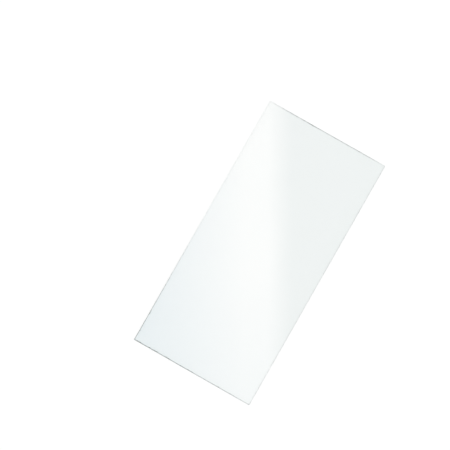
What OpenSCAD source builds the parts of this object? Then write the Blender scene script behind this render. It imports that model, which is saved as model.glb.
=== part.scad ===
// Rectangular cover glass for microscope mounts.
// One plate of thin clear sheet glass. Each edge was scored with a wheel on the upper face and
// snapped, so the upper arris has a small crushed bevel and the lower arris stays crisp.
// The corners are left square, as they come off the sheet.
// The origin is the centre of the underside. X runs along the plate, Y across it, and +Z is up.
// All sizes are in millimetres.

/* [Plate] */
// Length of the plate, along X
plate_length = 50; // [18:0.5:75]
// Width of the plate, along Y
plate_width = 24; // [10:0.5:50]
// Thickness of the glass, along Z
glass_thickness = 0.17; // [0.08:0.01:1]

/* [Scored edges] */
// How far the crushed bevel reaches into the upper face along the two long edges
long_edge_bevel_width = 0.02; // [0.005:0.005:0.2]
// How far down the long edges the bevel reaches from the upper face
long_edge_bevel_depth = 0.015; // [0.005:0.005:0.06]
// How far the crushed bevel reaches into the upper face along the two short edges
short_edge_bevel_width = 0.05; // [0.005:0.005:0.2]
// How far down the short edges the bevel reaches from the upper face
short_edge_bevel_depth = 0.03; // [0.005:0.005:0.06]

/* [Colour] */
// Opacity at which the glass is drawn
glass_opacity = 0.35; // [0.1:0.05:1]

/* [Hidden] */
GLASS_TINT = [0.90, 0.97, 0.95];

// Section of a plate that is cut on both sides: a crisp lower arris, and a bevel at the upper one.
module scored_section(span, bevel_width, bevel_depth) {
    edge = span / 2;
    shoulder = glass_thickness - bevel_depth;
    polygon([
        [-edge, 0],
        [edge, 0],
        [edge, shoulder],
        [edge - bevel_width, glass_thickness],
        [bevel_width - edge, glass_thickness],
        [-edge, shoulder],
    ]);
}

// Strip with its two long edges cut, running along X.
module strip_with_long_edges() {
    rotate([90, 0, 90])
        linear_extrude(plate_length, center = true)
            scored_section(plate_width, long_edge_bevel_width, long_edge_bevel_depth);
}

// Strip with its two short edges cut, running along Y.
module strip_with_short_edges() {
    rotate([90, 0, 0])
        linear_extrude(plate_width, center = true)
            scored_section(plate_length, short_edge_bevel_width, short_edge_bevel_depth);
}

// The plate is what both strips share, so the bevels meet in a mitre at each square corner.
module cover_glass() {
    color(GLASS_TINT, glass_opacity)
        intersection() {
            strip_with_long_edges();
            strip_with_short_edges();
        }
}

cover_glass();
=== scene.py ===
# %% [markdown]
# # A microscope cover glass
# A cover glass is one flat plate of very thin, clear glass that is laid over a specimen.
# This lesson builds its looks around a packed CAD model, which holds its true size and place.
# The plate is bare: all there is to see is how light passes through it, what its faces mirror,
# and the fine broken line of glass along its four cut edges.

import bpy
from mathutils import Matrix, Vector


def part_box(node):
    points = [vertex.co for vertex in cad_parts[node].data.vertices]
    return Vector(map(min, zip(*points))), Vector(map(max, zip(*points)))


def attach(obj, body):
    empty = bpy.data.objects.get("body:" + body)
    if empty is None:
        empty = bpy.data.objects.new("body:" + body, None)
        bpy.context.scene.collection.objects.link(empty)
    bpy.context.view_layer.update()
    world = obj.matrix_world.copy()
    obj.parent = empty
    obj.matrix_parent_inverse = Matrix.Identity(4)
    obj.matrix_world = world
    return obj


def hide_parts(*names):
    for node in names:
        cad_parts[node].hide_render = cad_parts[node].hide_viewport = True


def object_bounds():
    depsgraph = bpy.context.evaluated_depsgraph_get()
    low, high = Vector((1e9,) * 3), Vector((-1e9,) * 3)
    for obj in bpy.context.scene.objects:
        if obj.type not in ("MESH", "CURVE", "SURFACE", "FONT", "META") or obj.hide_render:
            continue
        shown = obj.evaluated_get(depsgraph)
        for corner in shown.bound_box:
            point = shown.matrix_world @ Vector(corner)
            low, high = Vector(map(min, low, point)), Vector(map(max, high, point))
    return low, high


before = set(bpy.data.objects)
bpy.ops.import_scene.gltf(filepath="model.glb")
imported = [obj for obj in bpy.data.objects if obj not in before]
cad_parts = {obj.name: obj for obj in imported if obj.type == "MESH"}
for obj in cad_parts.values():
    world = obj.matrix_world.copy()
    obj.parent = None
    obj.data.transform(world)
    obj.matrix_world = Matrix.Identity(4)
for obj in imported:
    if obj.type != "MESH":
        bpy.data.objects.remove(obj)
MM = 0.001  # one millimetre, in metres
cad_low, cad_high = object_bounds()
print("CAD nodes:", sorted(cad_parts))
print("CAD box in mm:", [round(side / MM, 3) for side in cad_high - cad_low])

# %% Load the other tools and measure the plate
import math

import bpy
from mathutils import Matrix, Vector

plate_low, plate_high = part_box("cover_glass")
plate_size = plate_high - plate_low
plate_middle = (plate_low + plate_high) / 2
print("Plate in mm:", [round(side / MM, 3) for side in plate_size])

# %% [markdown]
# ## Arithmetic on node sockets
# Both the shape and the finish of this piece follow formulas. Laying out a Math node for each
# plus and times hides the formula, so a small class wraps a socket and gives it the usual
# operators. Every other node comes from one function that sets the node's own choices first,
# and then its sockets, because some choices change which sockets a node has.

# %% Wrap a socket
class Wire:
    """An output socket in a node tree. Arithmetic on it adds Math nodes."""

    def __init__(self, tree, socket):
        self.tree = tree
        self.socket = socket

    def math(self, operation, first, second=0.0):
        return node(self.tree, "ShaderNodeMath", {"operation": operation}, {0: first, 1: second})

    def __add__(self, other):
        return self.math("ADD", self, other)

    def __sub__(self, other):
        return self.math("SUBTRACT", self, other)

    def __rsub__(self, other):
        return self.math("SUBTRACT", other, self)

    def __mul__(self, other):
        return self.math("MULTIPLY", self, other)

    def __truediv__(self, other):
        return self.math("DIVIDE", self, other)

    def __pow__(self, other):
        return self.math("POWER", self, other)

    def __gt__(self, other):
        return self.math("GREATER_THAN", self, other)

    def at_least(self, other):
        return self.math("MAXIMUM", self, other)

    def at_most(self, other):
        return self.math("MINIMUM", self, other)

    def size(self):
        return self.math("ABSOLUTE", self)

    def sign(self):
        return self.math("SIGN", self)

    __radd__ = __add__
    __rmul__ = __mul__


def choose(mask, chosen, otherwise):
    """The first value where the mask is 1, and the second where it is 0."""
    return mask * chosen + (1 - mask) * otherwise


print("Besides arithmetic, a wire has:", [name for name in vars(Wire) if not name.startswith("_")])

# %% Add any node
def find_socket(sockets, key):
    """A socket by its place, its identifier or its name."""
    if isinstance(key, int):
        return sockets[key]
    for socket in sockets:
        if socket.identifier == key:
            return socket
    return sockets[key]


def node(tree, kind, settings=None, inputs=None, output=0):
    """Add a node: its settings first, then a value or a link for each socket named."""
    made = tree.nodes.new(kind)
    for name, value in (settings or {}).items():
        setattr(made, name, value)
    for key, value in (inputs or {}).items():
        socket = find_socket(made.inputs, key)
        for item in value if isinstance(value, list) else [value]:
            if isinstance(item, Wire):
                tree.links.new(item.socket, socket)
            else:
                socket.default_value = item
    if not made.outputs:
        return None
    return Wire(tree, find_socket(made.outputs, output))


def outputs_of(wire, *names):
    """More outputs of the node that a wire comes from."""
    return [Wire(wire.tree, find_socket(wire.socket.node.outputs, name)) for name in names]


def parts_of(tree, vector, *axes):
    """The wanted parts, such as "X" and "Y", of a vector."""
    return outputs_of(node(tree, "ShaderNodeSeparateXYZ", {}, {"Vector": vector}), *axes)


print("Helpers for nodes:", [made.__name__ for made in (node, outputs_of, parts_of)])

# %% [markdown]
# ## The glass
# Clear glass shows what is behind it, a shade darker and with a touch of blue-green, and mirrors
# about a twelfth of what is above it. A Principled shader with full transmission does both, and
# it is also the shader that other programs understand when the model is exported. Its base colour
# is the colour of light that has crossed the plate once.
#
# Sheet glass is drawn hot and is never quite flat or quite clean. A very long, very low wave
# bends what the faces mirror, and a trace of wiping haze changes how sharply they do it.
# Both are worked out from the Object coordinates, which are metres here. A picture of smears
# would need unwrapping, and would blur in a close view.

# %% Start a material
def new_material(name):
    """An empty material, its tree and the Object coordinates."""
    material = bpy.data.materials.new(name)
    material.use_nodes = True
    tree = material.node_tree
    tree.nodes.clear()
    return material, tree, node(tree, "ShaderNodeTexCoord", {}, {}, "Object")


def stretched(tree, place, factors):
    """Coordinates multiplied by a factor for each axis. Above 1, the pattern is squeezed there."""
    return node(tree, "ShaderNodeVectorMath", {"operation": "MULTIPLY"}, {0: place, 1: factors})


def noise(tree, place, wave, detail):
    """Noise from 0 to 1 whose features are about one wave, in metres, across."""
    return node(tree, "ShaderNodeTexNoise", {}, {"Vector": place, "Scale": 1 / wave, "Detail": detail})


def mix_colour(tree, mask, first, second):
    """The first colour where the mask is 0, and the second where it is 1."""
    return node(tree, "ShaderNodeMix", {"data_type": "RGBA"},
                {"Factor_Float": mask, "A_Color": (*first, 1), "B_Color": (*second, 1)}, "Result_Color")


print("Noise with features 1 mm across has a scale of", round(1 / MM))

# %% [markdown]
# Lamps cannot shine through a glass shader without long, noisy paths, so the plate would stand
# on a dark floor. The usual cure is to swap the glass for a Transparent shader when the ray is
# one that looks for light: a shadow ray, or one that has bounced off the floor.

# %% Let lamps through
FILM = (0.975, 0.985, 0.98)  # share of a lamp's light that each polished face passes


def open_to_lamps(tree, glass, passed):
    """Glass for the rays that see, and a clear tinted film for those that look for light."""
    path = node(tree, "ShaderNodeLightPath", {}, {}, "Is Shadow Ray")
    looking = path.at_least(outputs_of(path, "Is Diffuse Ray")[0])
    film = node(tree, "ShaderNodeBsdfTransparent", {}, {"Color": (*passed, 1)})
    both = node(tree, "ShaderNodeMixShader", {}, {0: looking, 1: glass, 2: film})
    node(tree, "ShaderNodeOutputMaterial", {}, {"Surface": both})


print("Share of the lamps' light that reaches the floor below:", [round(face ** 2, 3) for face in FILM])

# %% Polished faces
GLASS_IOR = 1.52  # its index of refraction
TINT = (0.901, 0.923, 0.923)
FAINT_TINT = (0.911, 0.931, 0.931)
TINT_CLOUD = 14 * MM  # how far it is from the one tint to the other
WIPE_LENGTH = 9 * MM  # of a wiping mark
WIPE_RUN = (1, 3, 1)  # the marks run along X, and are three times as long as they are wide
WIPE_RARITY = 3  # the higher, the fewer the hazy marks
LEAST_HAZE = 0.004  # as roughness
MORE_HAZE = 0.03  # the most that wiping adds
CREST_LENGTH = 16 * MM  # of the low wave
CREST_RUN = (1, 2.5, 1)  # the crests run along X too
CREST_HEIGHT = 0.001 * MM


def polished_glass():
    """Clear drawn glass: a faint tint, a low wave and a trace of haze."""
    material, tree, place = new_material("polished_glass")
    cloud = noise(tree, place, TINT_CLOUD, detail=2.0)
    tint = mix_colour(tree, cloud, TINT, FAINT_TINT)
    wiped = noise(tree, stretched(tree, place, WIPE_RUN), WIPE_LENGTH, detail=4.0)
    haze = LEAST_HAZE + MORE_HAZE * wiped ** WIPE_RARITY
    wave = noise(tree, stretched(tree, place, CREST_RUN), CREST_LENGTH, detail=0.0)
    bent = node(tree, "ShaderNodeBump", {}, {"Strength": 1.0, "Distance": CREST_HEIGHT, "Height": wave})
    glass = node(tree, "ShaderNodeBsdfPrincipled", {}, {
        "Base Color": tint, "Roughness": haze, "Normal": bent,
        "IOR": GLASS_IOR, "Transmission Weight": 1.0})
    open_to_lamps(tree, glass, FILM)
    return material


polished = polished_glass()
print("Material:", polished.name, "with", len(polished.node_tree.nodes), "nodes")

# %% [markdown]
# Where glass has broken it scatters light. The chips and walls are frosted, and from above they
# read as a grey hairline. Their material keeps part of the glass's clearness. The rest is an
# opaque grey, nearly black at its darkest, and that grey is painted shade for how dark the broken
# edges look from above. Its tone and roughness change from chip to chip. A snap also leaves fine
# upright ribs on the walls, which come from noise that is stretched along Z. One material could
# find the edges by its faces' slopes, but two materials are easier to read, and either can be
# changed alone.

# %% Broken edges
# painted shade: the grey that darkens the broken faces, from its deepest to its palest
BREAK_SHADE_DEEP = (0.035, 0.04, 0.038)
BREAK_SHADE_PALE = (0.29, 0.32, 0.31)
BREAK_FILM = (0.7, 0.74, 0.72)  # share of a lamp's light that each broken face passes
BREAK_PATCH = 0.35 * MM  # how far it is from a dark chip to a light one
BREAK_CLEARNESS = 0.6  # the share that is glass, and the rest is an opaque grey of painted shade
GRAIN_WIDTH = 0.05 * MM
RIB_WIDTH = 0.06 * MM
RIB_RUN = (1, 1, 0.15)  # the ribs run up the wall
GRIT_HEIGHT = 0.01 * MM  # of the grains and of the ribs
GRIT_STRENGTH = 0.6  # 0 leaves the faces flat, and 1 gives the bumps their full effect
LEAST_FROST = 0.3  # as roughness
MORE_FROST = 0.4  # the most that the grains add


def broken_glass():
    """Crushed and snapped glass: frosted, uneven, and grey with painted shade."""
    material, tree, place = new_material("broken_glass")
    # patches of painted shade on the broken faces, darker or paler from chip to chip
    shade_patches = noise(tree, place, BREAK_PATCH, detail=3.0)
    grains = noise(tree, place, GRAIN_WIDTH, detail=2.0)
    ribs = noise(tree, stretched(tree, place, RIB_RUN), RIB_WIDTH, detail=2.0)
    rough = node(tree, "ShaderNodeBump", {},
                 {"Strength": GRIT_STRENGTH, "Distance": GRIT_HEIGHT, "Height": grains + ribs})
    glass = node(tree, "ShaderNodeBsdfPrincipled", {}, {
        "Base Color": mix_colour(tree, shade_patches, BREAK_SHADE_DEEP, BREAK_SHADE_PALE),
        "Roughness": LEAST_FROST + MORE_FROST * grains, "Normal": rough,
        "IOR": GLASS_IOR, "Transmission Weight": BREAK_CLEARNESS})
    open_to_lamps(tree, glass, BREAK_FILM)
    return material


broken = broken_glass()
print("Material:", broken.name, "with", len(broken.node_tree.nodes), "nodes")

# %% [markdown]
# ## The cut edges
# Thin glass is cut by drawing a hard wheel along it and bending it until it snaps. The wheel
# crushes a narrow line of glass, so along each upper edge a row of shell-shaped chips is left,
# each a fraction of a millimetre long. The lower edge, which the wheel never touched, stays crisp.
#
# How hard the wheel bit is not known, so this is an assumption. The plate is built as if it bit
# hardest where it was set down: the crushed line is wide at one corner and thins out along both
# edges that meet there. On the short edge across from it the line thins out towards both ends, and
# on the long one it is narrow and even.
#
# Hundreds of chips that follow one rule are work for Geometry Nodes. The tree starts from the
# plate's outline, raises it into a plate, and lets the rim of the upper face step inwards and
# downwards by amounts that a one-dimensional Voronoi pattern picks along the edge. Modelling the
# chips by hand or with a boolean for each would take longer and could not follow a new size.
#
# One list names every input of the tree with its value. The tree takes its sockets from it, and
# the modifier takes its values.

# %% List the tree's inputs
plate_inputs = {
    "Length": plate_size.x,
    "Width": plate_size.y,
    "Thickness": plate_size.z,
    "Outline Cuts": 1023,  # points added along each side of the outline
    "Left Line": 0.046 * MM,  # width of the crushed line on the edge at -X
    "Right Line": 0.06 * MM,  # at +X, away from its corners
    "Right Taper": 4 * MM,  # and it thins out to nothing over this length towards both
    "Back Line": 0.003 * MM,  # at +Y
    "Front Line": 0.019 * MM,  # at -Y
    "Left Bite": 0.062 * MM,  # added to the left line at the back corner
    "Back Bite": 0.081 * MM,  # added to the back line at the same corner
    "Bite Length": 24 * MM,  # and both fade away over this length
    "Chip Length": 0.5 * MM,  # spacing of the chips along an edge
    "Chip Reach": 1.6,  # how far the widest chips reach in, as a share of the crushed line
    "Chip Slope": 0.45,  # how deep a chip is for each unit of its width
    "Deepest Chip": 0.5,  # as a share of the thickness
    "Crumb Length": 0.12 * MM,  # spacing of the crumbs between the chips
    "Crumble": 0.9,  # how uneven the crumbs make the line, as a share of it
    "Sound Corner": 0.5 * MM,  # chips die away this near to a corner
    "Seed": 3.0,
    "Polished": polished,
    "Broken": broken}
print("Inputs of the tree:", len(plate_inputs))

# %% Start a geometry tree
SOCKET_KINDS = {float: "NodeSocketFloat", int: "NodeSocketInt", bpy.types.Material: "NodeSocketMaterial"}


def group_with_inputs(name, values):
    """A new geometry tree, and a wire for each of its named inputs."""
    tree = bpy.data.node_groups.new(name, "GeometryNodeTree")
    for title, value in values.items():
        kind = SOCKET_KINDS[type(value)]
        tree.interface.new_socket(title, in_out="INPUT", socket_type=kind)
    tree.interface.new_socket("Mesh", in_out="OUTPUT", socket_type="NodeSocketGeometry")
    entry = tree.nodes.new("NodeGroupInput")
    return tree, {title: Wire(tree, entry.outputs[title]) for title in values}


print("Kinds of input:", list(SOCKET_KINDS.values()))

# %% [markdown]
# The outline has points every twentieth of a millimetre or less. Each point first works out which
# side it lies on, and how far along it. Two masks, each 0 or 1, stand for the short sides and the
# long ones; at a corner both are 1.

# %% Find each point's side
NEARLY = 1 - 1e-5  # a point past this share of the way from the middle to a side lies on it


class Rim:
    """Where the outline's points lie, as wires."""

    def __init__(self, tree, given):
        self.x, self.y = parts_of(tree, node(tree, "GeometryNodeInputPosition"), "X", "Y")
        self.half_x = given["Length"] / 2
        self.half_y = given["Width"] / 2
        self.on_short = self.x.size() > self.half_x * NEARLY
        self.on_long = self.y.size() > self.half_y * NEARLY
        self.along = choose(self.on_short, self.y, self.x)
        self.across = choose(self.on_short, self.x, self.y)
        self.to_corner = choose(self.on_short, self.half_y, self.half_x) - self.along.size()


print("A point lies on a short side when it is within",
      round((1 - NEARLY) * plate_size.x / 2 / MM, 6), "mm of it")

# %% [markdown]
# Then it works out how wide the chip is there. A chip is a hump that falls away from the middle
# of its Voronoi cell, and each cell has its own random size. Cubing the random number makes most
# chips small and a few large, as on real glass. Chips and crumbs die away near a corner, so that
# those of two edges never run into each other. Each edge starts far from the others along the
# pattern, or opposite edges would match.

# %% Chips and crumbs
HUMP_EDGE = 1.8  # one cell divided by a hump's reach to either side
CHIP_RARITY = 3  # the higher, the fewer large chips
SHORT_SHIFT = 400  # cells between the pattern on the short sides and on the long ones
SIDE_SHIFT = 150  # from there to either of two opposite sides
SEED_SHIFT = 31  # for each step of the seed
NOISE_MIDDLE = 0.5  # noise runs from 0 to 1


def unevenness(tree, rim, given):
    """How much wider or narrower than the crushed line each place is, as a factor."""
    start = SHORT_SHIFT * rim.on_short + SIDE_SHIFT * rim.across.sign() + SEED_SHIFT * given["Seed"]
    cell = node(tree, "ShaderNodeTexVoronoi", {"voronoi_dimensions": "1D"},
                {"W": rim.along / given["Chip Length"] + start, "Scale": 1.0}, "Distance")
    chance = parts_of(tree, outputs_of(cell, "Color")[0], "X")[0]
    hump = (1 - (cell * HUMP_EDGE) ** 2).at_least(0)
    sound = (rim.to_corner / given["Sound Corner"]).at_most(1)
    chip = hump * chance ** CHIP_RARITY * sound
    crumbs = node(tree, "ShaderNodeTexNoise", {"noise_dimensions": "1D"},
                  {"W": rim.along / given["Crumb Length"] + start, "Scale": 1.0, "Detail": 1.0})
    crumble = given["Crumble"] * (crumbs - NOISE_MIDDLE) * sound
    return 1 + given["Chip Reach"] * chip + crumble


print("Chips along a long side:", round(plate_inputs["Length"] / plate_inputs["Chip Length"]))

# %% [markdown]
# The width of the crushed line times this unevenness is how far the upper rim steps in. A corner
# steps in along both axes. The other points of each side then close up along it, each by its share
# of the way from the middle, so that they stay in order.

# %% Width of the crushed line
def crushed_lines(rim, given):
    """How wide the wheel's line is on the short sides, and on the long ones."""
    from_bite = rim.half_x + rim.x + rim.half_y - rim.y  # along the left edge or the back one
    fading = (1 - from_bite / given["Bite Length"]).at_least(0)
    taper = ((rim.half_y - rim.y.size()) / given["Right Taper"]).at_most(1)
    short_line = choose(rim.x > 0, given["Right Line"] * taper, given["Left Line"])
    long_line = choose(rim.y > 0, given["Back Line"], given["Front Line"])
    short_line += given["Left Bite"] * fading
    long_line += given["Back Bite"] * fading
    return short_line, long_line


def rim_moves(tree, given):
    """How far the rim steps in along X and along Y, and how far it drops, at each point."""
    rim = Rim(tree, given)
    short_line, long_line = crushed_lines(rim, given)
    uneven = unevenness(tree, rim, given)
    short_width = short_line * uneven
    long_width = long_line * uneven
    inset_x = choose(rim.on_short, short_width, short_line * rim.x.size() / rim.half_x)
    inset_y = choose(rim.on_long, long_width, long_line * rim.y.size() / rim.half_y)
    widest = (rim.on_short * short_width).at_least(rim.on_long * long_width)
    drop = (widest * given["Chip Slope"]).at_most(given["Thickness"] * given["Deepest Chip"])
    return {"inset_x": inset_x * rim.x.sign(), "inset_y": inset_y * rim.y.sign(), "drop": drop}


print("Widest crushed line in mm:",
      round((plate_inputs["Left Line"] + plate_inputs["Left Bite"]) / MM, 3))

# %% [markdown]
# Extruding the filled outline gives the walls. Two more extrusions of no height add the rings of
# a shell-shaped chip, which are then moved into place. A flipped copy of the outline closes the
# underside, and merging its points with the walls' makes one closed solid.
#
# The two polished faces then have thousands of points each. Left whole, an export would cut them
# into triangles at its own choice, and along a straight side many would have no area. So they are
# cut here, by the rule that gives the best-shaped triangles. The last nodes give the polished
# faces one material and everything broken another.

# %% Fill the outline
def outline_sheet(tree, given):
    """The underside, whose points carry how far the rim moves above them."""
    outline = node(tree, "GeometryNodeCurvePrimitiveQuadrilateral", {"mode": "RECTANGLE"},
                   {"Width": given["Length"], "Height": given["Width"]})
    dense = node(tree, "GeometryNodeSubdivideCurve", {},
                 {"Curve": outline, "Cuts": given["Outline Cuts"]})
    sheet = node(tree, "GeometryNodeFillCurve", {"mode": "NGONS"}, {"Curve": dense})
    for name, value in rim_moves(tree, given).items():
        sheet = node(tree, "GeometryNodeStoreNamedAttribute", {"data_type": "FLOAT", "domain": "POINT"},
                     {"Geometry": sheet, "Name": name, "Value": value})
    return sheet


print("Spacing of the points along a long side in mm:",
      round(plate_inputs["Length"] / (plate_inputs["Outline Cuts"] + 1) / MM, 4))

# %% Raise it and break its rim
SHELL = [(0.0, 1.0), (0.55, 0.75), (1.0, 0.0)]  # inset and drop of each ring, as shares of a chip


def stored(tree, name):
    """A number that the points carry."""
    return node(tree, "GeometryNodeInputNamedAttribute", {"data_type": "FLOAT"}, {"Name": name})


def raised_and_chipped(tree, sheet, given):
    """Walls, the rings of the chips, and the upper face."""
    x, y = parts_of(tree, node(tree, "GeometryNodeInputPosition"), "X", "Y")
    raised = sheet
    top = True
    rise = given["Thickness"]
    inset_before = 0.0
    for inset, drop in SHELL:
        step = inset - inset_before
        inset_before = inset
        raised = node(tree, "GeometryNodeExtrudeMesh", {"mode": "FACES"},
                      {"Mesh": raised, "Selection": top, "Offset Scale": rise, "Individual": False})
        top = outputs_of(raised, "Top")[0]
        place = node(tree, "ShaderNodeCombineXYZ", {}, {
            "X": x - stored(tree, "inset_x") * step,
            "Y": y - stored(tree, "inset_y") * step,
            "Z": given["Thickness"] - stored(tree, "drop") * drop})
        raised = node(tree, "GeometryNodeSetPosition", {},
                      {"Geometry": raised, "Selection": top, "Position": place})
        rise = 0.0
    return raised


print("Rings from the wall to the upper face:", len(SHELL))

# %% Close it and give it its materials
WELD = 0.0001 * MM  # points nearer to each other than this are merged
LEVEL = 0.999  # a face is polished where its normal's Z, up or down, is above this


def snapped_plate_tree(values):
    """A flat plate whose upper rim is a row of chips."""
    tree, given = group_with_inputs("snapped_plate", values)
    sheet = outline_sheet(tree, given)
    raised = raised_and_chipped(tree, sheet, given)
    underside = node(tree, "GeometryNodeFlipFaces", {}, {"Mesh": sheet})
    solid = node(tree, "GeometryNodeJoinGeometry", {}, {"Geometry": [raised, underside]})
    solid = node(tree, "GeometryNodeMergeByDistance", {}, {"Geometry": solid, "Distance": WELD})
    for name in ("inset_x", "inset_y", "drop"):
        solid = node(tree, "GeometryNodeRemoveAttribute", {}, {"Geometry": solid, "Name": name})
    normal_z = parts_of(tree, node(tree, "GeometryNodeInputNormal"), "Z")[0]
    is_polished = normal_z.size() > LEVEL
    solid = node(tree, "GeometryNodeTriangulate", {"ngon_method": "BEAUTY"},
                 {"Mesh": solid, "Selection": is_polished})
    solid = node(tree, "GeometryNodeSetShadeSmooth", {}, {"Geometry": solid, "Shade Smooth": False})
    solid = node(tree, "GeometryNodeRealizeInstances", {}, {"Geometry": solid})
    solid = node(tree, "GeometryNodeSetMaterial", {}, {"Geometry": solid, "Material": given["Polished"]})
    solid = node(tree, "GeometryNodeSetMaterial", {},
                 {"Geometry": solid, "Selection": 1 - is_polished, "Material": given["Broken"]})
    node(tree, "NodeGroupOutput", {}, {"Mesh": solid})
    return tree


snapped_plate = snapped_plate_tree(plate_inputs)
print("Nodes in the plate's tree:", len(snapped_plate.nodes))

# %% [markdown] ## Make the plate The tree runs as a modifier on an empty mesh. Its inputs are set
# by their identifiers before the first evaluation, the result is copied to a plain mesh, and the
# modifier is thrown away.

# %% Run the tree
def set_inputs(modifier, values):
    """Set a modifier's named inputs by socket identifier."""
    for item in modifier.node_group.interface.items_tree:
        if item.item_type == "SOCKET" and item.in_out == "INPUT":
            modifier[item.identifier] = values[item.name]


def drop_empty_slots(mesh):
    """Keep only the material slots that hold a material, with each face still on its own."""
    kept = [place for place, material in enumerate(mesh.materials) if material]
    materials = [mesh.materials[place] for place in kept]
    faces = [kept.index(face.material_index) for face in mesh.polygons]
    mesh.materials.clear()
    for material in materials:
        mesh.materials.append(material)
    mesh.polygons.foreach_set("material_index", faces)


def plain_mesh(tree, name, values):
    """The tree's result as a mesh with no modifiers."""
    carrier = bpy.data.objects.new(name + "_carrier", bpy.data.meshes.new(name + "_carrier"))
    bpy.context.scene.collection.objects.link(carrier)
    modifier = carrier.modifiers.new("build", "NODES")
    modifier.node_group = tree
    set_inputs(modifier, values)
    graph = bpy.context.evaluated_depsgraph_get()
    mesh = bpy.data.meshes.new_from_object(carrier.evaluated_get(graph), depsgraph=graph)
    mesh.name = name
    drop_empty_slots(mesh)
    carrier.modifiers.remove(modifier)
    bpy.data.objects.remove(carrier)
    return mesh


plate_mesh = plain_mesh(snapped_plate, "cover_glass_plate", plate_inputs)
print("Plate:", len(plate_mesh.vertices), "points and", len(plate_mesh.polygons), "faces")

# %% [markdown] The tree builds the plate round the origin, so the mesh is moved to where the
# CAD plate lies, wherever that is. The object itself stays at the origin, because the export
# puts every object there.

# %% Put it where the CAD plate lies
def placed(name, data):
    """A new object at the origin of the scene."""
    made = bpy.data.objects.new(name, data)
    bpy.context.scene.collection.objects.link(made)
    return made


plate_mesh.transform(Matrix.Translation((plate_middle.x, plate_middle.y, plate_low.z)))
plate_mesh.update()
plate = placed("cover_glass_plate", plate_mesh)
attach(plate, "root")
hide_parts("cover_glass")
print("Plate's materials:", [slot.name for slot in plate.material_slots])

# %% [markdown]
# ## The camera
# The plate is seen from almost straight above, through a long lens, so that its sides look
# parallel. The camera is placed by turning it round the plate and raising it from the floor,
# and it looks at a point a little to one side of the plate's middle.

# %% Place the camera
CAMERA_TURN = math.radians(-60.33)  # round the plate, from looking along +Y
CAMERA_RISE = math.radians(86)  # above the floor
LENS = 400.0  # in millimetres, as for any camera lens
SENSOR = 36.0  # its width, in millimetres
VIEW_WIDTH = 81.76 * MM  # how much of the floor the frame spans
AIM_RIGHT = -6.31 * MM  # from the plate's middle to the point looked at
AIM_UP = 5.05 * MM  # and the same, upwards

to_right = Vector((math.cos(CAMERA_TURN), math.sin(CAMERA_TURN), 0))
to_top = Vector((-math.sin(CAMERA_TURN), math.cos(CAMERA_TURN), 0))
aim = plate_middle + AIM_RIGHT * to_right + AIM_UP * to_top
back = -to_top * math.cos(CAMERA_RISE) + Vector((0, 0, math.sin(CAMERA_RISE)))
camera_data = bpy.data.cameras.new("camera")
camera_data.lens = LENS
camera_data.sensor_width = SENSOR
camera = placed("camera", camera_data)
camera.location = aim + back * VIEW_WIDTH * LENS / SENSOR
camera.rotation_euler = (-back).to_track_quat("-Z", "Y").to_euler()
bpy.context.scene.camera = camera
print("Camera is", round((camera.location - aim).length, 3), "m from the point it looks at")

# %% [markdown]
# ## The floor and the surroundings
# Glass looks like whatever is around it. Below it is a plain pale floor, lit and shaded as paper
# is. For the eye and for glass it is also lifted to white, and lifted more far out, where the
# lamps no longer reach, so that the plate is seen on white from every side. More lamps would
# whiten the floor too, but they would wash out the plate.
#
# Above it the studio is white at the horizon, where it meets the floor, and darker overhead, so
# that the faces mirror a calm grey from above and the plate stays a shade darker than the floor.

# %% A pale floor
FLOOR_HALF = 4.0  # half of its side, in metres
FLOOR_GAP = 0.03 * MM  # keeps the floor from touching the underside
FLOOR_TONE = (0.8, 0.8, 0.8, 1)
NEAR_LIFT = 0.24  # the floor's own glow below the plate
FAR_LIFT = 0.42  # what is added to it far out
LAMP_REACH = 1.1  # the floor this many metres out is taken to get a quarter of the plate's light


def floor_material():
    """Paper that is lifted to white for the eye and for glass."""
    material, tree, place = new_material("pale_floor")
    path = node(tree, "ShaderNodeLightPath", {}, {}, "Is Camera Ray")
    glossy, through = outputs_of(path, "Is Glossy Ray", "Is Transmission Ray")
    seen = path.at_least(glossy).at_least(through)
    far = node(tree, "ShaderNodeVectorMath", {"operation": "LENGTH"}, {0: place}, "Value") / LAMP_REACH
    unlit = 1 - (far ** 2 + 1) ** -2  # the cosine-fourth law of a lamp's light on a floor
    paper = node(tree, "ShaderNodeBsdfDiffuse", {}, {"Color": FLOOR_TONE})
    lift = node(tree, "ShaderNodeEmission", {}, {"Strength": seen * (NEAR_LIFT + FAR_LIFT * unlit)})
    both = node(tree, "ShaderNodeAddShader", {}, {0: paper, 1: lift})
    node(tree, "ShaderNodeOutputMaterial", {}, {"Surface": both})
    return material


def pale_floor():
    """A square sheet just below the plate."""
    mesh = bpy.data.meshes.new("floor")
    h = FLOOR_HALF
    mesh.from_pydata([(-h, -h, 0), (h, -h, 0), (h, h, 0), (-h, h, 0)], [], [(0, 1, 2, 3)])
    mesh.transform(Matrix.Translation((0, 0, cad_low.z - FLOOR_GAP)))
    mesh.materials.append(floor_material())
    placed("floor", mesh)


pale_floor()
print("Floor is", 2 * FLOOR_HALF, "m wide")

# %% The studio around
HORIZON = 1.0  # strength of the light from the horizon
CEILING = 0.48  # and from overhead
CEILING_FROM = 0.55  # height, as a share of a unit sphere, where the tone is the ceiling's
SETTLING = 0.33  # the lower, the sooner the tone drops above the horizon
WHITE = (1, 1, 1, 1)


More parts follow.
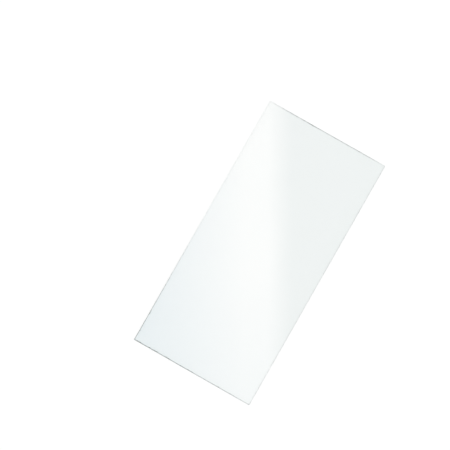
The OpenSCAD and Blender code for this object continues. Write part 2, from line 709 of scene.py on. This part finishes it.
def studio_world():
    """White at the horizon, and fading to a grey ceiling."""
    world = bpy.data.worlds.new("studio")
    world.use_nodes = True
    tree = world.node_tree
    tree.nodes.clear()
    direction = node(tree, "ShaderNodeTexCoord", {}, {}, "Generated")
    height = parts_of(tree, direction, "Z")[0]
    rise = (height / CEILING_FROM).at_least(0).at_most(1)
    strength = HORIZON - (HORIZON - CEILING) * rise ** SETTLING
    glow = node(tree, "ShaderNodeBackground", {}, {"Color": WHITE, "Strength": strength})
    node(tree, "ShaderNodeOutputWorld", {}, {"Surface": glow})
    bpy.context.scene.world = world


studio_world()
print("Studio goes from", HORIZON, "at the horizon to", CEILING, "overhead")

# %% [markdown]
# ## The lamps
# Two large softboxes light the floor from both sides, the right one more strongly, so that the
# broken edges on the left turn dark.

# %% Two softboxes
SOFTBOX_SIDE = 0.7  # in metres
SOFTBOX_DISTANCE = 1.1  # from the plate, in metres
SOFTBOX_RISE = math.radians(50)  # above the floor
SIDEWAYS = math.radians(90)  # from the camera's side of the plate to its left or right
FILL_POWER = 2.9  # in watts
KEY_POWER = 5.8


def softbox(name, turn, power):
    """A square area lamp that faces the plate."""
    lamp = bpy.data.lights.new(name, "AREA")
    lamp.shape = "SQUARE"
    lamp.size = SOFTBOX_SIDE
    lamp.energy = power
    holder = placed(name, lamp)
    flat = math.cos(SOFTBOX_RISE)
    away = Vector((math.sin(turn) * flat, -math.cos(turn) * flat, math.sin(SOFTBOX_RISE)))
    holder.location = plate_middle + away * SOFTBOX_DISTANCE
    holder.rotation_euler = away.to_track_quat("Z", "Y").to_euler()


softbox("fill_softbox", CAMERA_TURN - SIDEWAYS, FILL_POWER)
softbox("key_softbox", CAMERA_TURN + SIDEWAYS, KEY_POWER)

# %% [markdown]
# A flat plate shows a lamp only as a mirror does, where the angles fit. A narrow panel therefore
# hangs where the camera sees it in the glass. It is dim and cool at one long side, bright and
# warm towards the other, and then ends, and it cools a little towards its lower end. So it draws
# a soft bright band across the plate. The band could be painted into the glass, but then it
# would stay there when the plate is seen from another side, and a reflection does not.

# %% A panel to mirror
PANEL_HEIGHT = 0.9  # above the floor, in metres
PANEL_LEFT = -17 * MM  # where its image starts on the plate, from the point looked at
PANEL_RISE = -14.5 * MM  # where its glow starts to rise
PANEL_FULL = 3.6 * MM  # where its glow is at its height
PANEL_FALL = 7.8 * MM  # where it starts to fall
PANEL_RIGHT = 12.2 * MM  # where it has gone
PANEL_REACH = 60 * MM  # how far its image runs up and down
FADE_FROM = -8 * MM  # where, going down, it starts to cool
FADE_OUT = -87 * MM  # where it would be as cool as its dim side
PANEL_COOL = (0.0, 0.28, 0.56)  # its glow at the dim side
PANEL_WARM = (1.80, 1.56, 1.52)  # and at its brightest


def mirrored_place(point, height):
    """Where the camera's line of sight, mirrored in the plate at that point, reaches a height."""
    eye = camera.location
    spread = 1 + height / eye.z
    return Vector((eye.x + (point.x - eye.x) * spread, eye.y + (point.y - eye.y) * spread, height))


def panel_material():
    """A glow that follows the place on the panel, as the plate shows it."""
    material, tree, _ = new_material("panel_glow")
    place = node(tree, "ShaderNodeUVMap", {"uv_map": "panel"})
    u, v = parts_of(tree, place, "X", "Y")
    right = u * (PANEL_RIGHT - PANEL_LEFT) + PANEL_LEFT
    up = v * (2 * PANEL_REACH) - PANEL_REACH
    rise = ((right - PANEL_RISE) / (PANEL_FULL - PANEL_RISE)).at_least(0).at_most(1)
    warmth = rise * ((up - FADE_OUT) / (FADE_FROM - FADE_OUT)).at_most(1)
    cover = ((PANEL_RIGHT - right) / (PANEL_RIGHT - PANEL_FALL)).at_most(1)
    colour = mix_colour(tree, warmth, PANEL_COOL, PANEL_WARM)
    glow = node(tree, "ShaderNodeEmission", {}, {"Color": colour})
    clear = node(tree, "ShaderNodeBsdfTransparent")
    both = node(tree, "ShaderNodeMixShader", {}, {0: cover, 1: clear, 2: glow})
    node(tree, "ShaderNodeOutputMaterial", {}, {"Surface": both})
    return material


def mirrored_panel():
    """A hanging panel whose corners are where the plate mirrors them."""
    corners = [aim + right * to_right + up * to_top
               for right, up in ((PANEL_LEFT, -PANEL_REACH), (PANEL_RIGHT, -PANEL_REACH),
                                 (PANEL_RIGHT, PANEL_REACH), (PANEL_LEFT, PANEL_REACH))]
    mesh = bpy.data.meshes.new("mirrored_panel")
    mesh.from_pydata([mirrored_place(corner, PANEL_HEIGHT) for corner in corners], [], [(0, 1, 2, 3)])
    mesh.uv_layers.new(name="panel")
    for loop, uv in zip(mesh.uv_layers["panel"].data, ((0, 0), (1, 0), (1, 1), (0, 1))):
        loop.uv = uv
    mesh.materials.append(panel_material())
    placed("mirrored_panel", mesh)
    return mesh


panel_mesh = mirrored_panel()
print("Panel's area is", round(panel_mesh.polygons[0].area, 4), "square metres")

# %% [markdown] ## Colour The Standard view shows colours as they are
# written.

bpy.context.scene.view_settings.view_transform = "Standard"
